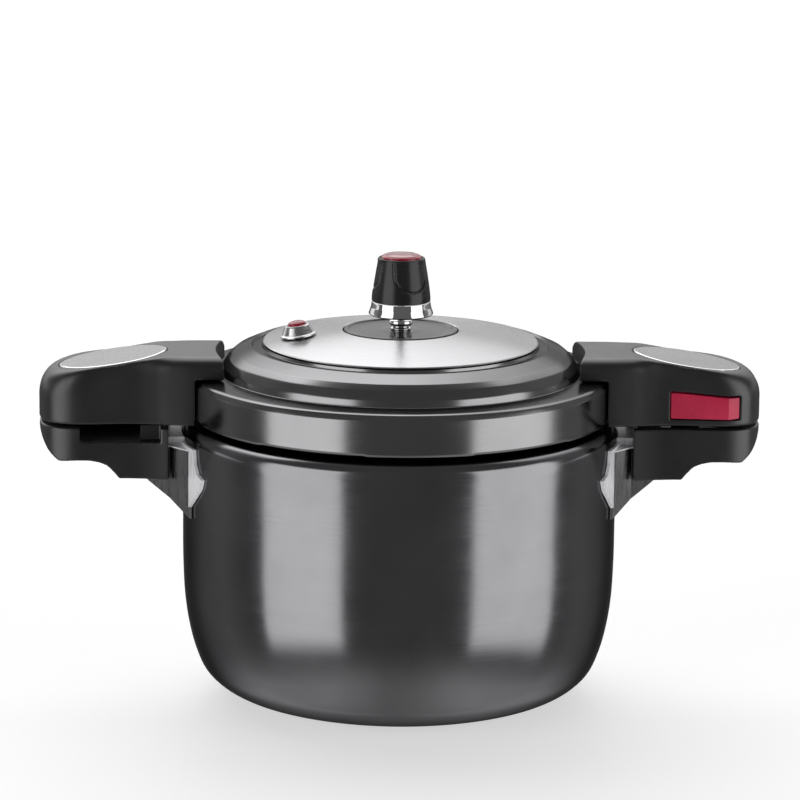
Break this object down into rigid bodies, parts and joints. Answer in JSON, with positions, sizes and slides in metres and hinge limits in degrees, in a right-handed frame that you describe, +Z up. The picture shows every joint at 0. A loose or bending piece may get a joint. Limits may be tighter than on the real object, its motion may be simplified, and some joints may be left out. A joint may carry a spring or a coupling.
{
  "type": "stovetop pressure cooker",
  "caption": "Stovetop pressure cooker: dark pot with a bayonet lid, a weight valve, a pressure indicator, two-part side handles and a push-button lid lock.",
  "frame": {"origin": "centre of the base, on the surface the pot stands on", "axes": "+Z up, X along the handles with the release button on the +X handle, -Y towards the user's side that shows the button"},
  "size_m": [0.3866, 0.2344, 0.2412],
  "materials": {
    "pot_anodised": "dark hard-anodised aluminium with fine spun lines",
    "lid_anodised": "dark hard-anodised aluminium, satin",
    "bracket_metal": "dark grey coated steel",
    "satin_steel": "satin stainless steel, spun",
    "chrome": "polished chrome",
    "fastener_steel": "plain zinc-plated steel",
    "phenolic": "fine-textured black phenolic",
    "black_plastic": "satin black plastic",
    "badge_metal": "silver-grey plate with a polished rim",
    "red_plastic": "glossy crimson plastic",
    "silicone": "grey silicone rubber"
  },
  "bodies": {
    "pot": {"pot_body": "pot_anodised", "pot_bracket_left": "bracket_metal", "lower_handle_left": "phenolic", "lower_handle_screw_left": "fastener_steel", "pot_bracket_right": "bracket_metal", "lower_handle_right": "phenolic", "lower_handle_screw_right": "fastener_steel"},
    "seal": {"gasket": "silicone"},
    "lid": {"lid_shell": "lid_anodised", "lid_plate": "satin_steel", "centre_disc": "black_plastic", "vent_pipe": "chrome", "vent_washer": "silicone", "vent_nut": "fastener_steel", "anti_clog_cap": "fastener_steel", "indicator_housing": "chrome", "indicator_seal": "silicone", "indicator_nut": "fastener_steel", "latch_cover": "phenolic", "latch_cover_screw_inner": "fastener_steel", "latch_cover_screw_outer": "fastener_steel", "latch_spring": "fastener_steel", "lid_bracket_left": "fastener_steel", "upper_handle_left": "phenolic", "upper_handle_screw_left": "fastener_steel", "badge_left": "badge_metal", "lid_bracket_right": "fastener_steel", "upper_handle_right": "phenolic", "upper_handle_screw_right": "fastener_steel", "badge_right": "badge_metal"},
    "needle": {"valve_needle": "fastener_steel"},
    "weight": {"weight_body": "chrome", "weight_cover": "black_plastic", "weight_screw": "fastener_steel", "weight_cap": "red_plastic"},
    "indicator": {"indicator_pin": "red_plastic"},
    "button": {"release_button": "red_plastic"},
    "latch": {"latch_bolt": "fastener_steel"}
  },
  "joints": [
    {"name": "lid_lift", "type": "slide", "parent": "pot", "child": "seal", "axis": [0, 0, 1], "range_m": [0, 0.15]},
    {"name": "lid_turn", "type": "hinge", "parent": "seal", "child": "lid", "pos_m": [0, 0, 0.17], "axis": [0, 0, 1], "range_deg": [0, 30]},
    {"name": "weight_lift", "type": "slide", "parent": "lid", "child": "needle", "axis": [0, 0, 1], "range_m": [0, 0.03]},
    {"name": "weight_spin", "type": "hinge", "parent": "needle", "child": "weight", "pos_m": [0, 0, 0.22], "axis": [0, 0, 1], "continuous": true},
    {"name": "indicator_rise", "type": "slide", "parent": "lid", "child": "indicator", "axis": [-0.1492, -0.0152, 0.9887], "range_m": [0, 0.004]},
    {"name": "button_press", "type": "slide", "parent": "lid", "child": "button", "axis": [0, 1, 0], "range_m": [0, 0.0045], "stiffness_N_per_m": 400, "springref_m": -0.004, "deforming": ["latch_spring"]},
    {"name": "latch_lift", "type": "slide", "parent": "lid", "child": "latch", "axis": [0, 0, 1], "range_m": [0, 0.0045]}
  ],
  "couplings": [
    {"joint": "latch_lift", "follows": "button_press", "ratio": 1}
  ]
}
